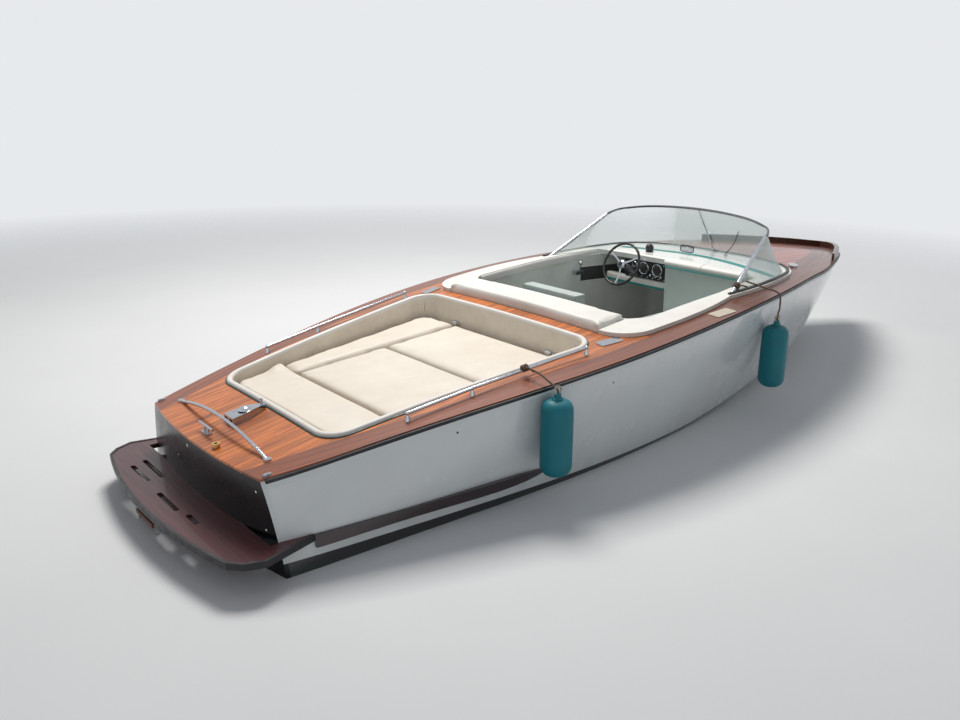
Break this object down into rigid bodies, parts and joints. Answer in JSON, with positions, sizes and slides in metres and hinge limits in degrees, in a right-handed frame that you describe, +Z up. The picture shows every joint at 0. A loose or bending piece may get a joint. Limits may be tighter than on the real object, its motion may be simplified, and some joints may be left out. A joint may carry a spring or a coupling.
{
  "type": "speedboat",
  "caption": "Open wooden-decked inboard speedboat afloat, with a sunken sun pad aft, a padded cockpit and a clear wraparound screen.",
  "frame": {"origin": "on the waterline and the centreline, straight below the ends of the transom's deck edge", "axes": "+X towards the bow, +Y to port, +Z up"},
  "size_m": [6.4738, 2.2674, 1.8461],
  "materials": {
    "topsides": "gloss gelcoat",
    "transom_black": "gloss",
    "mahogany": "varnished",
    "planking": "varnished",
    "black_rubber": "satin",
    "dark_band": "gloss",
    "cream_vinyl": "soft vinyl",
    "white_vinyl": "soft vinyl",
    "grey_lining": "matte",
    "dark_floor": "carpet",
    "white_dash": "gloss",
    "black_panel": "satin",
    "black_rim": "satin",
    "chrome": "polished",
    "steel": "brushed",
    "screen_glass": "clear",
    "beige_pad": "matte",
    "bronze": "cast",
    "engine_iron": "painted",
    "hatch_board": "painted",
    "teal_vinyl": "satin",
    "tan_line": "braided"
  },
  "bodies": {
    "boat": {"hull": "topsides", "transom": "transom_black", "covering_boards": "mahogany", "aft_deck": "planking", "foredeck": "planking", "rub_rail": "black_rubber", "spray_rails": "dark_band", "toe_rail": "mahogany", "swim_platform": "mahogany", "platform_edge": "black_rubber", "platform_brackets": "steel", "ladder_hinge": "steel", "recess_liner": "cream_vinyl", "recess_rim": "white_vinyl", "engine": "engine_iron", "cockpit_sole": "dark_floor", "cockpit_liner": "grey_lining", "aft_bar": "white_vinyl", "side_pads": "white_vinyl", "dash": "white_dash", "instrument_panel": "black_panel", "gauges": "black_panel", "knee_roll": "white_vinyl", "steering_column": "steel", "throttle": "chrome", "helm_seat_base": "grey_lining", "helm_seat": "white_vinyl", "passenger_seat_base": "grey_lining", "passenger_seat": "white_vinyl", "windscreen": "screen_glass", "screen_trim": "black_rubber", "screen_posts": "chrome", "screen_gasket": "black_rubber", "stern_rail": "chrome", "side_rails": "chrome", "stern_vent": "chrome", "stern_cleat": "chrome", "side_cleats": "chrome", "bow_cleats": "chrome", "step_pad": "beige_pad", "compass": "black_rim", "flag_socket": "bronze", "bow_eye": "chrome", "shaft_strut": "bronze", "skeg": "topsides", "fenders": "teal_vinyl", "fender_lines": "tan_line", "hatch_hinge_pins": "steel"},
    "hatch": {"engine_hatch": "hatch_board", "sun_pads": "cream_vinyl", "hatch_hinge_straps": "steel"},
    "wheel": {"steering_wheel": "black_rim"},
    "blade": {"rudder": "bronze"},
    "screw": {"propeller": "bronze"},
    "ladder": {"ladder_rails": "steel", "ladder_treads": "mahogany"}
  },
  "joints": [
    {"name": "hatch_lift", "type": "hinge", "parent": "boat", "child": "hatch", "pos_m": [1.985, 0, 0.606], "axis": [0, 1, 0], "range_deg": [0, 65]},
    {"name": "wheel_turn", "type": "hinge", "parent": "boat", "child": "wheel", "pos_m": [3.56, 0.345, 0.82], "axis": [-0.9063, 0, 0.4226], "range_deg": [-540, 540]},
    {"name": "rudder_turn", "type": "hinge", "parent": "boat", "child": "blade", "pos_m": [0.04, 0, 0], "axis": [0, 0, 1], "range_deg": [-35, 35]},
    {"name": "propeller_spin", "type": "hinge", "parent": "boat", "child": "screw", "pos_m": [0.3, 0, -0.462], "axis": [0.9744, 0, 0.225], "continuous": true},
    {"name": "ladder_swing", "type": "hinge", "parent": "boat", "child": "ladder", "pos_m": [-0.285, 0.125, 0.105], "axis": [0, 1, 0], "range_deg": [0, 90]}
  ],
  "couplings": [
    {"joint": "rudder_turn", "follows": "wheel_turn", "ratio": -0.064815}
  ]
}
